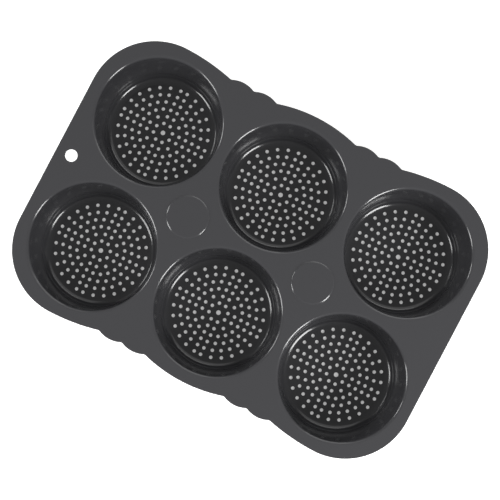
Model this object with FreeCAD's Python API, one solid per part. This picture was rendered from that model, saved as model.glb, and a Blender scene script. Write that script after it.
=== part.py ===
import FreeCAD, Part
import math
import os
from FreeCAD import Vector

# Six-cup baking pan, drawn and punched from one sheet of coated steel.
# Millimetres. +Z up. The origin is on the surface that the pan stands on, under its middle.
# X runs along the row of three cups, Y across the two rows.

# The sheet and the grid of cups, with the flat strip that stays between two neighbouring mouths
sheet_thickness = 0.8
cup_columns = 3
cup_rows = 2
mouth_gap = 10.4

# One cup: the sizes are those of its inner face. The mouth's radius is where the straight wall
# would meet the flange if the bend were sharp, and the wall closes in by its draft to the floor.
mouth_radius = 50.8
wall_draft = 3.8
cup_depth = 40.0
mouth_bend_radius = 1.8
floor_bend_radius = 7.0

# Punched holes in each floor: one in the middle and rings round it, in four equal quarters.
# The first and last hole of a quarter stay half a row gap away from the X and Y axes, and the
# last ring keeps a flat border inside the bend at the foot of the wall.
hole_diameter = 3.0
centre_hole_diameter = 4.0
first_ring_radius = 8.0
row_gap = 6.0
flat_border = 1.85
holes_per_quarter = [2, 3, 5, 6, 7, 7]

# The flange: its width outside the outer mouths, at the ends and along the sides
end_border = 10.7
side_border = 10.9
corner_radius = 55.0

# Each long side has two small scallops between neighbouring lobes
scallop_width = 20.35
scallop_height = 2.5
notch_inset = 5.3
notch_radius = 1.2

# Hanging hole in the middle of one short side
hanging_hole_diameter = 10.0
hanging_hole_inset = 13.0

# A plain round pad pressed up into the sheet between each four cups, with a narrow step round it
pad_radius = 17.5
pad_step = 1.6
pad_height = 0.6

# What follows from those sizes
cup_pitch = 2 * mouth_radius + mouth_gap
floor_radius = mouth_radius - wall_draft
last_ring_radius = floor_radius - floor_bend_radius - flat_border
ring_step = (last_ring_radius - first_ring_radius) / (len(holes_per_quarter) - 1)
flange_top = sheet_thickness + cup_depth
half_length = (cup_columns - 1) / 2 * cup_pitch + mouth_radius + end_border
half_width = (cup_rows - 1) / 2 * cup_pitch + mouth_radius + side_border

# Two points closer than this are one point
tolerance = 0.01


def grid(columns, rows, pitch):
    """Centres of a grid that is centred on the origin."""
    return [Vector((i - (columns - 1) / 2) * pitch, (j - (rows - 1) / 2) * pitch, 0)
            for j in range(rows) for i in range(columns)]


def arcThrough(start, middle, end):
    return Part.Arc(start, middle, end).toShape()


def circleWire(centre, radius):
    return Part.Wire(Part.makeCircle(radius, centre))


def lobeMiddle(start, end, rise):
    """Middle point of an arc that bulges away from the X axis by its rise."""
    return (start + end) * 0.5 + Vector(0, rise, 0)


def longSideEdges():
    """The long side at +Y, from its left corner arc to its right one."""
    crest = half_width
    notch_y = crest - notch_inset
    first_x = -(cup_columns - 1) / 2 * cup_pitch
    corner_x = half_length - corner_radius
    edges = []
    gaps = [first_x + (i + 0.5) * cup_pitch for i in range(cup_columns - 1)]
    edges.append(cornerLobe(-corner_x, gaps[0] - scallop_width, crest, notch_y))
    for i, gap in enumerate(gaps):
        notches = [Vector(gap + k * scallop_width, notch_y, 0) for k in (-1, 0, 1)]
        for a, b in zip(notches, notches[1:]):
            edges.append(arcThrough(a, lobeMiddle(a, b, scallop_height), b))
        if i + 1 < len(gaps):
            following = Vector(gaps[i + 1] - scallop_width, notch_y, 0)
            edges.append(arcThrough(notches[2], lobeMiddle(notches[2], following, notch_inset), following))
    edges.append(cornerLobe(corner_x, gaps[-1] + scallop_width, crest, notch_y))
    return edges


def cornerLobe(crest_x, notch_x, crest, notch_y):
    """Arc from the crest, where it runs along X, down to the outer notch."""
    run = notch_x - crest_x
    drop = crest - notch_y
    radius = (run * run + drop * drop) / (2 * drop)
    half_turn = math.atan2(abs(run), radius - drop) / 2
    side = math.copysign(1, run)
    middle = Vector(crest_x + side * radius * math.sin(half_turn),
                    crest - radius * (1 - math.cos(half_turn)), 0)
    return arcThrough(Vector(crest_x, crest, 0), middle, Vector(notch_x, notch_y, 0))


def outlineWire():
    """Outer edge of the flange, seen from above."""
    top = longSideEdges()
    mirrored = [edge.mirror(Vector(0, 0, 0), Vector(0, 1, 0)) for edge in top]
    edges = top + mirrored
    cx = half_length - corner_radius
    cy = half_width - corner_radius
    diagonal = corner_radius * math.sqrt(0.5)
    for sx in (-1, 1):
        for sy in (-1, 1):
            edges.append(arcThrough(Vector(sx * cx, sy * half_width, 0),
                                    Vector(sx * (cx + diagonal), sy * (cy + diagonal), 0),
                                    Vector(sx * half_length, sy * cy, 0)))
        edges.append(Part.makeLine(Vector(sx * half_length, -cy, 0), Vector(sx * half_length, cy, 0)))
    return Part.Wire(Part.__sortEdges__(edges))


def wallPoints(offset):
    """Sharp corners of the cup's section, moved outward from the inner face by offset."""
    lean = math.atan2(wall_draft, cup_depth)
    out_x = offset * math.cos(lean)
    out_z = -offset * math.sin(lean)

    def radiusAt(z):
        return mouth_radius + out_x + (z - flange_top - out_z) * math.tan(lean)

    floor_z = sheet_thickness - offset
    flange_z = flange_top - offset
    return [Vector(0, 0, floor_z), Vector(radiusAt(floor_z), 0, floor_z),
            Vector(radiusAt(flange_z), 0, flange_z), Vector(2 * mouth_radius, 0, flange_z)]


def bend(before, corner, after, radius):
    """Start, middle and end of the arc that rounds a corner of the section."""
    a = (before - corner).normalize()
    b = (after - corner).normalize()
    half = a.getAngle(b) / 2
    run = radius / math.tan(half)
    middle = corner + (a + b).normalize() * (radius / math.sin(half) - radius)
    return corner + a * run, middle, corner + b * run


def cupSection(offset):
    """Both bends of one face of the sheet: inner face at 0, outer face at the sheet's thickness."""
    p = wallPoints(offset)
    lower = bend(p[0], p[1], p[2], floor_bend_radius + offset)
    upper = bend(p[1], p[2], p[3], mouth_bend_radius + sheet_thickness - offset)
    return lower, upper


def cupWall():
    """The wall with its two bends, from the flat floor to the flat flange, on the Z axis."""
    lower, upper = cupSection(0)
    lower_out, upper_out = cupSection(sheet_thickness)
    edges = [arcThrough(*lower), Part.makeLine(lower[2], upper[0]), arcThrough(*upper),
             Part.makeLine(upper[2], upper_out[2]), arcThrough(*upper_out),
             Part.makeLine(upper_out[0], lower_out[2]), arcThrough(*lower_out),
             Part.makeLine(lower_out[0], lower[0])]
    section = Part.Face(Part.Wire(Part.__sortEdges__(edges)))
    return section.revolve(Vector(0, 0, 0), Vector(0, 0, 1), 360)


def holeCentres():
    """Centres of the ring holes of one floor."""
    centres = []
    for ring, count in enumerate(holes_per_quarter):
        radius = first_ring_radius + ring * ring_step
        first = math.asin(row_gap / 2 / radius)
        step = (math.pi / 2 - 2 * first) / (count - 1)
        for quarter in range(4):
            for i in range(count):
                angle = quarter * math.pi / 2 + first + i * step
                centres.append(Vector(radius * math.cos(angle), radius * math.sin(angle), 0))
    return centres


def cupFloor(radius):
    """Flat floor disc with its punched holes."""
    wires = [circleWire(Vector(0, 0, 0), radius), circleWire(Vector(0, 0, 0), centre_hole_diameter / 2)]
    wires += [circleWire(c, hole_diameter / 2) for c in holeCentres()]
    return Part.Face(wires, "Part::FaceMakerBullseye").extrude(Vector(0, 0, sheet_thickness))


def cup():
    lower, upper = cupSection(0)
    return cupWall().fuse(cupFloor(lower[0].x)), upper[2].x


def padStep(z):
    """The two tangent arcs of the pad's edge on one face of the sheet, from the foot to the flat top."""
    radius = (pad_step ** 2 + pad_height ** 2) / (4 * pad_height)
    half_turn = math.atan2(pad_height, pad_step)
    half_run = Vector(radius * math.sin(half_turn), 0, -radius * (1 - math.cos(half_turn)))
    foot = Vector(pad_radius, 0, z)
    top = foot + Vector(-pad_step, 0, pad_height)
    middle = (foot + top) * 0.5
    return [arcThrough(foot, foot - half_run, middle), arcThrough(middle, top + half_run, top)]


def raisedPad():
    """The pressed pad with its step, on the Z axis."""
    corners = [Vector(0, 0, z + pad_height) for z in (cup_depth, flange_top)]
    shift = Vector(pad_radius - pad_step, 0, 0)
    edges = padStep(cup_depth) + padStep(flange_top)
    edges += [Part.makeLine(*corners)] + [Part.makeLine(c, c + shift) for c in corners]
    edges.append(Part.makeLine(Vector(pad_radius, 0, cup_depth), Vector(pad_radius, 0, flange_top)))
    section = Part.Face(Part.Wire(Part.__sortEdges__(edges)))
    return section.revolve(Vector(0, 0, 0), Vector(0, 0, 1), 360)


def flange(cup_centres, cup_opening, pad_centres):
    """Flat sheet with the cups' mouths, the hanging hole and a gap for each raised pad."""
    hanging = Vector(-half_length + hanging_hole_inset, 0, 0)
    wires = [outlineWire(), circleWire(hanging, hanging_hole_diameter / 2)]
    wires += [circleWire(c, cup_opening) for c in cup_centres]
    wires += [circleWire(c, pad_radius) for c in pad_centres]
    plate = Part.Face(wires, "Part::FaceMakerBullseye").extrude(Vector(0, 0, sheet_thickness))
    notches = [e for e in plate.Edges if isNotch(e)]
    plate = plate.makeFillet(notch_radius, notches)
    return plate.translated(Vector(0, 0, cup_depth))


def isNotch(edge):
    """True for an upright edge where two arcs of a long side meet in a notch."""
    a = edge.Vertexes[0].Point
    b = edge.Vertexes[-1].Point
    if Vector(a.x - b.x, a.y - b.y, 0).Length > tolerance or abs(a.z - b.z) < sheet_thickness / 2:
        return False
    return abs(abs(a.y) - (half_width - notch_inset)) < tolerance


def pan():
    cup_centres = grid(cup_columns, cup_rows, cup_pitch)
    pad_centres = grid(cup_columns - 1, cup_rows - 1, cup_pitch)
    one_cup, opening = cup()
    one_pad = raisedPad()
    pieces = [one_cup.translated(c) for c in cup_centres] + [one_pad.translated(c) for c in pad_centres]
    return flange(cup_centres, opening, pad_centres).fuse(pieces).removeSplitter()


os.makedirs("parts", exist_ok=True)
body = pan()
solid = body.Solids[0]
solid.exportStep("parts/pan.step")
box = solid.BoundBox
print("solids", len(body.Solids), "valid", solid.isValid(), "faces", len(solid.Faces))
print("box", round(box.XLength, 2), round(box.YLength, 2), round(box.ZLength, 2))
print("volume", round(solid.Volume, 1))
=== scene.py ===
import math
import bmesh
import bpy
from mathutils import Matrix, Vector


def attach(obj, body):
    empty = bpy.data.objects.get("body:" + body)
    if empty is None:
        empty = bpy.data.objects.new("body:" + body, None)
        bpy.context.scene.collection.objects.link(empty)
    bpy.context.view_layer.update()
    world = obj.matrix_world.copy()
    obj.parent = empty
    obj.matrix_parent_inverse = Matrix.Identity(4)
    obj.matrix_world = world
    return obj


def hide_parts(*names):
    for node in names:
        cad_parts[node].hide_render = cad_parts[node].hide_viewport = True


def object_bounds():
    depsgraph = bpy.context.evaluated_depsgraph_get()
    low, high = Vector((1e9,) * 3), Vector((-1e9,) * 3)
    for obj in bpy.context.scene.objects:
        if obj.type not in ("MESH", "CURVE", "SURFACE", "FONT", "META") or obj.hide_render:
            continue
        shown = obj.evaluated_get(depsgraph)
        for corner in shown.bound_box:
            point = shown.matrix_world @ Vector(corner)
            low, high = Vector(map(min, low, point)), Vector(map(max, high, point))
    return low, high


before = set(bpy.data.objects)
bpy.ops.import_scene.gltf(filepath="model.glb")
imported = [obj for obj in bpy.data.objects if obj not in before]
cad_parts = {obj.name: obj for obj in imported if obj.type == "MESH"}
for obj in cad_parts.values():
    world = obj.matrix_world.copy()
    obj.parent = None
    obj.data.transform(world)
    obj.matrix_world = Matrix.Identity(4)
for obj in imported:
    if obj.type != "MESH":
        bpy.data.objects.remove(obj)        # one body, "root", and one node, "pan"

cadLow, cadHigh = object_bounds()
mm = 0.001

# Sizes are in millimetres, as in the CAD. Length, width and height come from the frame's box.
pan = {
    "sheet": 0.8,               # thickness of the steel
    "columns": 3,
    "rows": 2,
    "mouthGap": 10.4,           # flat strip between two mouths
    "mouthRadius": 50.8,
    "wallDraft": 3.8,           # how much the wall closes in on its way down
    "mouthBend": 1.8,
    "floorBend": 7.0,
    "cornerRadius": 55.0,
    "scallopWidth": 20.35,
    "scallopHeight": 2.5,
    "notchInset": 5.3,
    "notchSoftness": 0.8,       # spread of the rounding in each notch
    "edgeRound": 0.18,          # rounding along the cut edge
    "hangRadius": 5.0,
    "hangInset": 13.0,
    "guard": 0.5,               # narrow flat ring beside each bend
}
perforation = {
    "radius": 1.5,
    "centreRadius": 2.0,
    "firstRing": 8.0,
    "flatBorder": 1.85,         # between the last ring and the bend at the foot of the wall
    "rowGap": 6.0,
    "perQuarter": [2, 3, 5, 6, 7, 7],
    "edgeRound": 0.16,          # the punch draws the rim of each hole down a little
}
pad = {                         # raised round pad between each four cups
    "radius": 17.5,
    "step": 1.6,                # width of its sloping edge
    "height": 0.6,
    "guard": 0.3,
}
detail = {                      # how many straight pieces make up each curve or wall
    "mouth": 180,               # round a cup, on the upper face of the sheet
    "mouthBelow": 120,          # and on the lower one
    "bend": 10,
    "bendBelow": 5,
    "wall": 3,
    "wallBelow": 1,
    "hole": 20,
    "hang": 48,
    "pad": 96,
    "padStep": 5,
    "lobe": 80,
    "scallop": 24,
    "corner": 60,
    "outlineStep": 0.8,         # mm between two points of the outline
    "smoothing": 2.5,           # how many spreads the rounding of a notch reaches each way
    "sharpAngle": 28,           # degrees: a steeper edge between two faces stays crisp
}

pitch = 2 * pan["mouthRadius"] + pan["mouthGap"]
flangeTop = cadHigh.z / mm - pad["height"]
flangeBottom = flangeTop - pan["sheet"]
halfLength = cadHigh.x / mm
halfWidth = cadHigh.y / mm
lean = math.atan2(pan["wallDraft"], flangeTop - pan["sheet"])     # tilt of the cups' walls


def gridCentres(columns, rows):
    return [((i - (columns - 1) / 2) * pitch, (j - (rows - 1) / 2) * pitch)
            for j in range(rows) for i in range(columns)]


def circle(centre, radius, steps):
    return [(centre[0] + radius * math.cos(2 * math.pi * i / steps),
             centre[1] + radius * math.sin(2 * math.pi * i / steps)) for i in range(steps)]


def archPoints(start, end, rise, steps):     # arc that stands up by rise between two level points
    half = (end[0] - start[0]) / 2
    radius = (half * half + rise * rise) / (2 * rise)
    turn = math.asin(half / radius)
    middle = (start[0] + end[0]) / 2
    angles = [turn * (2 * i / steps - 1) for i in range(steps + 1)]
    return [(middle + radius * math.sin(a), start[1] + rise - radius + radius * math.cos(a)) for a in angles]


def quarterOutline():                        # from the middle of the back edge to that of the right end
    notchY = halfWidth - pan["notchInset"]
    gap = pitch / 2
    notches = [(gap + side * pan["scallopWidth"], notchY) for side in (-1, 0, 1)]
    middleLobe = archPoints((-notches[0][0], notchY), notches[0], pan["notchInset"], detail["lobe"])
    points = middleLobe[detail["lobe"] // 2:-1]
    for a, b in zip(notches, notches[1:]):
        points += archPoints(a, b, pan["scallopHeight"], detail["scallop"])[:-1]
    crest = halfLength - pan["cornerRadius"]
    outerLobe = archPoints(notches[2], (2 * crest - notches[2][0], notchY), pan["notchInset"], detail["lobe"])
    points += outerLobe[:detail["lobe"] // 2]
    for i in range(detail["corner"] + 1):
        a = math.pi / 2 * i / detail["corner"]
        points.append((crest + pan["cornerRadius"] * math.sin(a),
                       halfWidth - pan["cornerRadius"] * (1 - math.cos(a))))
    return points


def outlinePoints():
    quarter = quarterOutline()
    half = quarter + [(x, -y) for x, y in quarter[::-1]]
    return softLoop(half + [(-x, y) for x, y in half[::-1]], detail["outlineStep"], pan["notchSoftness"])


def softLoop(points, step, spread):          # even steps along a closed line, lightly smoothed
    closed = points + points[:1]
    reach = [0.0]
    for a, b in zip(closed, closed[1:]):
        reach.append(reach[-1] + math.dist(a, b))
    count = round(reach[-1] / step)
    even, k = [], 0
    for i in range(count):
        at = reach[-1] * i / count
        while reach[k + 1] <= at:
            k += 1
        share = (at - reach[k]) / (reach[k + 1] - reach[k])
        even.append(Vector(closed[k]).lerp(Vector(closed[k + 1]), share))
    width = math.ceil(detail["smoothing"] * spread / step)
    weights = {j: math.exp(-0.5 * (j * step / spread) ** 2) for j in range(-width, width + 1)}
    total = sum(weights.values())
    soft = []
    for i in range(count):
        parts = [even[(i + j) % count] * w for j, w in weights.items()]
        soft.append(sum(parts, Vector((0, 0))) / total)
    return soft


def insetLoop(points, distance):
    count = len(points)
    loop = []
    for i, p in enumerate(points):
        along = (points[(i + 1) % count] - points[i - 1]).normalized()
        loop.append(p + Vector((along.y, -along.x)) * distance)
    return loop


def bendPoints(before, corner, after, radius, steps):   # arc that rounds a corner of the section
    a = (before - corner).normalized()
    b = (after - corner).normalized()
    half = a.angle(b) / 2
    middle = corner + (a + b).normalized() * (radius / math.sin(half))
    start = corner + a * (radius / math.tan(half)) - middle
    turn = math.pi - 2 * half
    side = math.copysign(1, a.x * b.y - a.y * b.x)
    points = []
    for i in range(steps + 1):
        c, s = math.cos(turn * i / steps), math.sin(-side * turn * i / steps)
        points.append(middle + Vector((start.x * c - start.y * s, start.x * s + start.y * c)))
    return points


def cupProfile(offset, bendSteps, wallSteps):           # radius and height from the flange down to the floor
    outX, outZ = offset * math.cos(lean), -offset * math.sin(lean)
    topZ, floorZ = flangeTop - offset, pan["sheet"] - offset

    def wallAt(z):
        return Vector((pan["mouthRadius"] + outX + (z - flangeTop - outZ) * math.tan(lean), z))

    far, axis = Vector((2 * pan["mouthRadius"], topZ)), Vector((0, floorZ))
    mouth = bendPoints(far, wallAt(topZ), wallAt(floorZ), pan["mouthBend"] + pan["sheet"] - offset, bendSteps)
    foot = bendPoints(wallAt(topZ), wallAt(floorZ), axis, pan["floorBend"] + offset, bendSteps)
    wall = [mouth[-1].lerp(foot[0], i / wallSteps) for i in range(1, wallSteps)]
    guard = Vector((pan["guard"], 0))
    return [mouth[0] + guard] + mouth + wall + foot + [foot[-1] - guard]


def holeCentres():
    flatRadius = pan["mouthRadius"] - pan["wallDraft"] - pan["floorBend"]
    rings = len(perforation["perQuarter"])
    step = (flatRadius - perforation["flatBorder"] - perforation["firstRing"]) / (rings - 1)
    centres = []
    for ring, count in enumerate(perforation["perQuarter"]):
        radius = perforation["firstRing"] + ring * step
        first = math.asin(perforation["rowGap"] / 2 / radius)
        for quarter in range(4):
            for i in range(count):
                a = quarter * math.pi / 2 + first + (math.pi / 2 - 2 * first) * i / (count - 1)
                centres.append((radius * math.cos(a), radius * math.sin(a)))
    return centres


def addLoop(bm, points, z):
    return [bm.verts.new((p[0] * mm, p[1] * mm, z * mm)) for p in points]


def bridge(bm, loops):                                  # walls between each ring and the next
    for a, b in zip(loops, loops[1:]):
        count = len(a)
        for i in range(count):
            k = (i + 1) % count
            bm.faces.new((a[i], a[k], b[k], b[i]))


def fillFlat(bm, loops):                                # a flat face with holes, from closed rings
    edges = []
    for loop in loops:
        for a, b in zip(loop, loop[1:] + loop[:1]):
            edges.append(bm.edges.get((a, b)) or bm.edges.new((a, b)))
    bmesh.ops.triangle_fill(bm, use_beauty=True, edges=edges)


def addHole(bm, centre, radius, topZ, bottomZ, steps):  # hole through the sheet, with a soft upper rim
    soft = perforation["edgeRound"]
    top = addLoop(bm, circle(centre, radius + soft, steps), topZ)
    lip = addLoop(bm, circle(centre, radius, steps), topZ - soft)
    bottom = addLoop(bm, circle(centre, radius, steps), bottomZ)
    bridge(bm, [top, lip, bottom])
    return top, bottom


def addRings(bm, centre, profile, steps):
    loops = [addLoop(bm, circle(centre, p.x, steps), p.y) for p in profile]
    bridge(bm, loops)
    return loops[0], loops[-1]


def addCup(bm, centre):                                 # returns its ring in the flange, above and below
    inner = cupProfile(0, detail["bend"], detail["wall"])
    outer = cupProfile(pan["sheet"], detail["bendBelow"], detail["wallBelow"])
    upper = addRings(bm, centre, inner, detail["mouth"])
    lower = addRings(bm, centre, outer, detail["mouthBelow"])
    holes = [((0, 0), perforation["centreRadius"])] + [(c, perforation["radius"]) for c in holeCentres()]
    tops, bottoms = [], []
    for (x, y), radius in holes:
        top, bottom = addHole(bm, (centre[0] + x, centre[1] + y), radius, pan["sheet"], 0, detail["hole"])
        tops.append(top)
        bottoms.append(bottom)
    fillFlat(bm, [upper[1]] + tops)
    fillFlat(bm, [lower[1]] + bottoms)
    return upper[0], lower[0]


def addPad(bm, centre, z):                              # raised flat pad with a narrow S-shaped step round it
    run, rise, steps = pad["step"], pad["height"], detail["padStep"]
    radius = (run * run + rise * rise) / (4 * rise)
    turns = [2 * math.atan2(rise, run) * i / steps for i in range(steps + 1)]
    foot = [Vector((pad["radius"] - radius * math.sin(t), z + radius * (1 - math.cos(t)))) for t in turns]
    crown = [Vector((2 * foot[-1].x - p.x, 2 * foot[-1].y - p.y)) for p in foot[-2::-1]]
    guard = Vector((pad["guard"], 0))
    outer, inner = addRings(bm, centre, [foot[0] + guard] + foot + crown + [crown[-1] - guard], detail["pad"])
    fillFlat(bm, [inner])
    return outer


def addEdge(bm):                                        # cut edge of the sheet, a little rounded
    outline = outlinePoints()
    narrow = insetLoop(outline, pan["edgeRound"])
    loops = [addLoop(bm, narrow, flangeTop), addLoop(bm, outline, flangeTop - pan["edgeRound"]),
             addLoop(bm, outline, flangeBottom + pan["edgeRound"]), addLoop(bm, narrow, flangeBottom)]
    bridge(bm, loops)
    return loops[0], loops[-1]


def buildPan():
    bm = bmesh.new()
    rings = [addEdge(bm)]                               # above and below the flange
    for centre in gridCentres(pan["columns"], pan["rows"]):
        rings.append(addCup(bm, centre))
    hang = (-halfLength + pan["hangInset"], 0)
    rings.append(addHole(bm, hang, pan["hangRadius"], flangeTop, flangeBottom, detail["hang"]))
    for centre in gridCentres(pan["columns"] - 1, pan["rows"] - 1):
        rings.append((addPad(bm, centre, flangeTop), addPad(bm, centre, flangeBottom)))
    fillFlat(bm, [above for above, below in rings])
    fillFlat(bm, [below for above, below in rings])
    bmesh.ops.recalc_face_normals(bm, faces=bm.faces)
    for face in bm.faces:
        face.smooth = True
    mesh = bpy.data.meshes.new("coatedPan")
    bm.to_mesh(mesh)
    bm.free()
    mesh.set_sharp_from_angle(angle=math.radians(detail["sharpAngle"]))
    piece = bpy.data.objects.new("coatedPan", mesh)
    bpy.context.scene.collection.objects.link(piece)
    return piece


def toLinear(code):                                     # sRGB hex to the linear colour of a shader socket
    parts = [int(code[i:i + 2], 16) / 255 for i in (1, 3, 5)]
    return [c / 12.92 if c <= 0.04045 else ((c + 0.055) / 1.055) ** 2.4 for c in parts] + [1.0]


def addNode(tree, kind, settings=None, links=None):     # a socket goes by its name or its number
    node = tree.nodes.new(kind)
    for key, value in (settings or {}).items():
        if isinstance(key, int) or key in node.inputs:
            node.inputs[key].default_value = value
        else:
            setattr(node, key, value)
    for key, source in (links or {}).items():
        tree.links.new(source, node.inputs[key])
    return node


def newMaterial(name):
    material = bpy.data.materials.new(name)
    material.use_nodes = True
    material.node_tree.nodes.clear()
    return material


coating = {
    "colour": "#2E2E30",        # on the cup floors: painted shade, the darkest zone, where the walls keep the light off
    "paintedLightAndShade": [(1.0, 6.0, "#3E3E40"),            # mm above the base, from and to: the foot of the wall, painted lighter,
              (10.0, 32.0, "#303032"),          # the upper wall, with painted shade
              (38.0, 40.6, "#3A3A3C")],         # and the flat rim, lighter than the painted shade in the cups
    "roughness": 0.15,
    "ior": 1.5,
    "peelSize": 1.6,            # mm across one dimple of the spray, coarser than real so that it shows
    "peelDepth": 0.006,         # mm
    "clouding": 0.04,           # how far the roughness drifts over the sheet
    "cloudSize": 38.0,          # mm
}


def paintLightAndShadeByHeight(tree, place):  # paints light and shade by height: blends the floor's colour into that of each zone above it
    factor, colourBelow, colourAbove, colourOut = 0, 6, 7, 2        # a Mix node's sockets for colours
    height = addNode(tree, "ShaderNodeSeparateXYZ", None, {"Vector": place}).outputs["Z"]
    colour = addNode(tree, "ShaderNodeRGB")
    colour.outputs[0].default_value = toLinear(coating["colour"])
    blend = colour.outputs[0]
    for low, high, code in coating["paintedLightAndShade"]:
        lift = addNode(tree, "ShaderNodeMapRange",
                       {"From Min": low * mm, "From Max": high * mm, "interpolation_type": "SMOOTHSTEP"},
                       {"Value": height})
        tint = addNode(tree, "ShaderNodeMix", {"data_type": "RGBA", colourAbove: toLinear(code)},
                       {factor: lift.outputs["Result"], colourBelow: blend})
        blend = tint.outputs[colourOut]
    return blend


def sprayedNonStick():          # coat on steel, sprayed and baked: dark, with a soft sheen, faint dimples and light and shade painted by height
    material = newMaterial("sprayedNonStickSteel")
    tree = material.node_tree
    place = addNode(tree, "ShaderNodeTexCoord").outputs["Object"]
    peel = addNode(tree, "ShaderNodeTexNoise", {"Scale": 1 / (coating["peelSize"] * mm), "Detail": 2.0},
                   {"Vector": place})
    bump = addNode(tree, "ShaderNodeBump", {"Strength": 1.0, "Distance": coating["peelDepth"] * mm},
                   {"Height": peel.outputs["Fac"]})
    clouds = addNode(tree, "ShaderNodeTexNoise", {"Scale": 1 / (coating["cloudSize"] * mm), "Detail": 3.0},
                     {"Vector": place})
    spread = addNode(tree, "ShaderNodeMapRange",
                     {"To Min": coating["roughness"] - coating["clouding"],
                      "To Max": coating["roughness"] + coating["clouding"]},
                     {"Value": clouds.outputs["Fac"]})
    shader = addNode(tree, "ShaderNodeBsdfPrincipled", {"Metallic": 0.0, "IOR": coating["ior"]},
                     {"Base Color": paintLightAndShadeByHeight(tree, place), "Roughness": spread.outputs["Result"],
                      "Normal": bump.outputs["Normal"]})
    addNode(tree, "ShaderNodeOutputMaterial", None, {"Surface": shader.outputs["BSDF"]})
    return material


print("pan")
panPiece = buildPan()
panPiece.data.materials.append(sprayedNonStick())
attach(panPiece, "root")
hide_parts("pan")
print("triangles", sum(len(p.vertices) - 2 for p in panPiece.data.polygons))

print("floor and light")
studio = {
    "floorColour": "#F4F4F4",
    "shadedColour": "#A4A4A4",  # painted shade under the cups, so that the walls mirror the perforations only faintly
    "shadedRadius": 42.0,       # mm, of the shaded round under each cup
    "floorSize": 8.0,           # metres
    "floorGap": 0.2,            # mm below the pan
    "glow": 0.60,               # the camera sees the floor almost white beside the pan
    "glowInPaintedShade": 0.28,      # and greyer through the perforations: painted shade under the cups
    "worldColour": "#FFFFFF",
    "worldStrength": 0.36,      # as it lights the pan
    "backdrop": 1.0,            # as the camera sees it: white
}
# The lamps stand where their mirror images fall on the bends as they do in the photo
lamps = {                       # name: turn from +X, height angle, distance in metres, width, height, watts
    "rightBox": (-16, 26, 1.0, 0.35, 0.55, 12),
    "frontLeftBox": (222, 24, 1.0, 0.35, 0.55, 7),
    "leftBox": (182, 18, 1.5, 0.45, 0.45, 7),
    "backPanel": (95, 42, 1.5, 1.6, 1.0, 4),
    "lowBackPanel": (90, 18, 0.9, 0.7, 0.5, 1.9),
}


def underCups(tree):            # 1 where the floor lies under a cup, and 0 elsewhere
    place = addNode(tree, "ShaderNodeTexCoord").outputs["Object"]
    total = addNode(tree, "ShaderNodeValue").outputs["Value"]
    total.default_value = 0
    for x, y in gridCentres(pan["columns"], pan["rows"]):
        away = addNode(tree, "ShaderNodeVectorMath", {"operation": "DISTANCE", 1: (x * mm, y * mm, 0)},
                       {0: place})
        near = addNode(tree, "ShaderNodeMath", {"operation": "LESS_THAN", 1: studio["shadedRadius"] * mm},
                       {0: away.outputs["Value"]})
        total = addNode(tree, "ShaderNodeMath", {"operation": "ADD"},
                        {0: total, 1: near.outputs["Value"]}).outputs["Value"]
    return total


def studioPaper():              # matt white paper, which glows for the camera alone, to look white, with painted shade in a round under each cup
    material = newMaterial("paleStudioFloor")
    tree = material.node_tree
    under = underCups(tree)
    pale, shaded = toLinear(studio["floorColour"])[0], toLinear(studio["shadedColour"])[0]
    shade = addNode(tree, "ShaderNodeMapRange", {"To Min": pale, "To Max": shaded}, {"Value": under})
    strength = addNode(tree, "ShaderNodeMapRange",
                       {"To Min": studio["glow"], "To Max": studio["glowInPaintedShade"]}, {"Value": under})
    paint = addNode(tree, "ShaderNodeBsdfDiffuse", None, {"Color": shade.outputs["Result"]})
    glow = addNode(tree, "ShaderNodeEmission", {"Color": (1, 1, 1, 1)},
                   {"Strength": strength.outputs["Result"]})
    lit = addNode(tree, "ShaderNodeAddShader", None, {0: paint.outputs["BSDF"], 1: glow.outputs["Emission"]})
    ray = addNode(tree, "ShaderNodeLightPath")
    seen = addNode(tree, "ShaderNodeMixShader", None,
                   {0: ray.outputs["Is Camera Ray"], 1: paint.outputs["BSDF"], 2: lit.outputs["Shader"]})
    addNode(tree, "ShaderNodeOutputMaterial", None, {"Surface": seen.outputs["Shader"]})
    return material


def addFloor():
    half = studio["floorSize"] / 2
    corners = [(-half, -half, 0), (half, -half, 0), (half, half, 0), (-half, half, 0)]
    mesh = bpy.data.meshes.new("studioFloor")
    mesh.from_pydata(corners, [], [(0, 1, 2, 3)])
    floor = bpy.data.objects.new("studioFloor", mesh)
    bpy.context.scene.collection.objects.link(floor)
    floor.location.z = -studio["floorGap"] * mm
    floor.data.materials.append(studioPaper())


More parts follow.
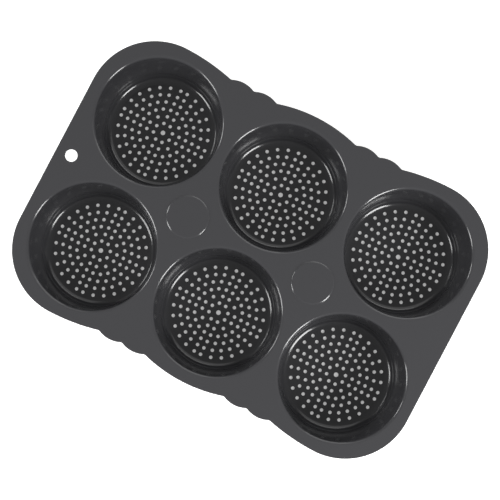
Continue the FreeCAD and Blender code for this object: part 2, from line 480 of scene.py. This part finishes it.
def addLamp(name, turn, height, distance, wide, high, power):
    data = bpy.data.lights.new(name, "AREA")
    data.shape = "RECTANGLE"
    data.size = wide
    data.size_y = high
    data.energy = power
    lamp = bpy.data.objects.new(name, data)
    bpy.context.scene.collection.objects.link(lamp)
    a, e = math.radians(turn), math.radians(height)
    away = Vector((math.cos(a) * math.cos(e), math.sin(a) * math.cos(e), math.sin(e)))
    lamp.location = away * distance
    lamp.rotation_euler = away.to_track_quat("Z", "Y").to_euler()


def setWorld():
    world = bpy.data.worlds.new("softRoom")
    world.use_nodes = True
    tree = world.node_tree
    ray = addNode(tree, "ShaderNodeLightPath")
    strength = addNode(tree, "ShaderNodeMapRange",
                       {"To Min": studio["worldStrength"], "To Max": studio["backdrop"]},
                       {"Value": ray.outputs["Is Camera Ray"]})
    back = tree.nodes["Background"]
    back.inputs["Color"].default_value = toLinear(studio["worldColour"])
    tree.links.new(strength.outputs["Result"], back.inputs["Strength"])
    bpy.context.scene.world = world


addFloor()
setWorld()
for name, values in lamps.items():
    addLamp(name, *values)

print("camera")
view = {
    "above": (16.3, -51.1),     # mm, the point of the pan that the camera stands over
    "distance": 656.8,          # mm from the flange
    "roll": 27.83,              # degrees, the pan's turn in the picture
    "focal": 828.1,             # pixels
    "aim": (238.3, 316.5),      # pixel that lies straight below the camera
    "picture": 500,             # pixels across
    "sensor": 36,               # mm
}


def addCamera():                # looks straight down, and its shift places the pan in the picture
    data = bpy.data.cameras.new("photoCamera")
    data.sensor_width = view["sensor"]
    data.lens = view["focal"] / view["picture"] * view["sensor"]
    data.shift_x = 0.5 - view["aim"][0] / view["picture"]
    data.shift_y = view["aim"][1] / view["picture"] - 0.5
    camera = bpy.data.objects.new("photoCamera", data)
    bpy.context.scene.collection.objects.link(camera)
    x, y = view["above"]
    camera.location = (x * mm, y * mm, (flangeTop + view["distance"]) * mm)
    camera.rotation_euler = (0, 0, math.radians(view["roll"]))
    bpy.context.scene.camera = camera


addCamera()
bpy.context.scene.view_settings.view_transform = "Standard"
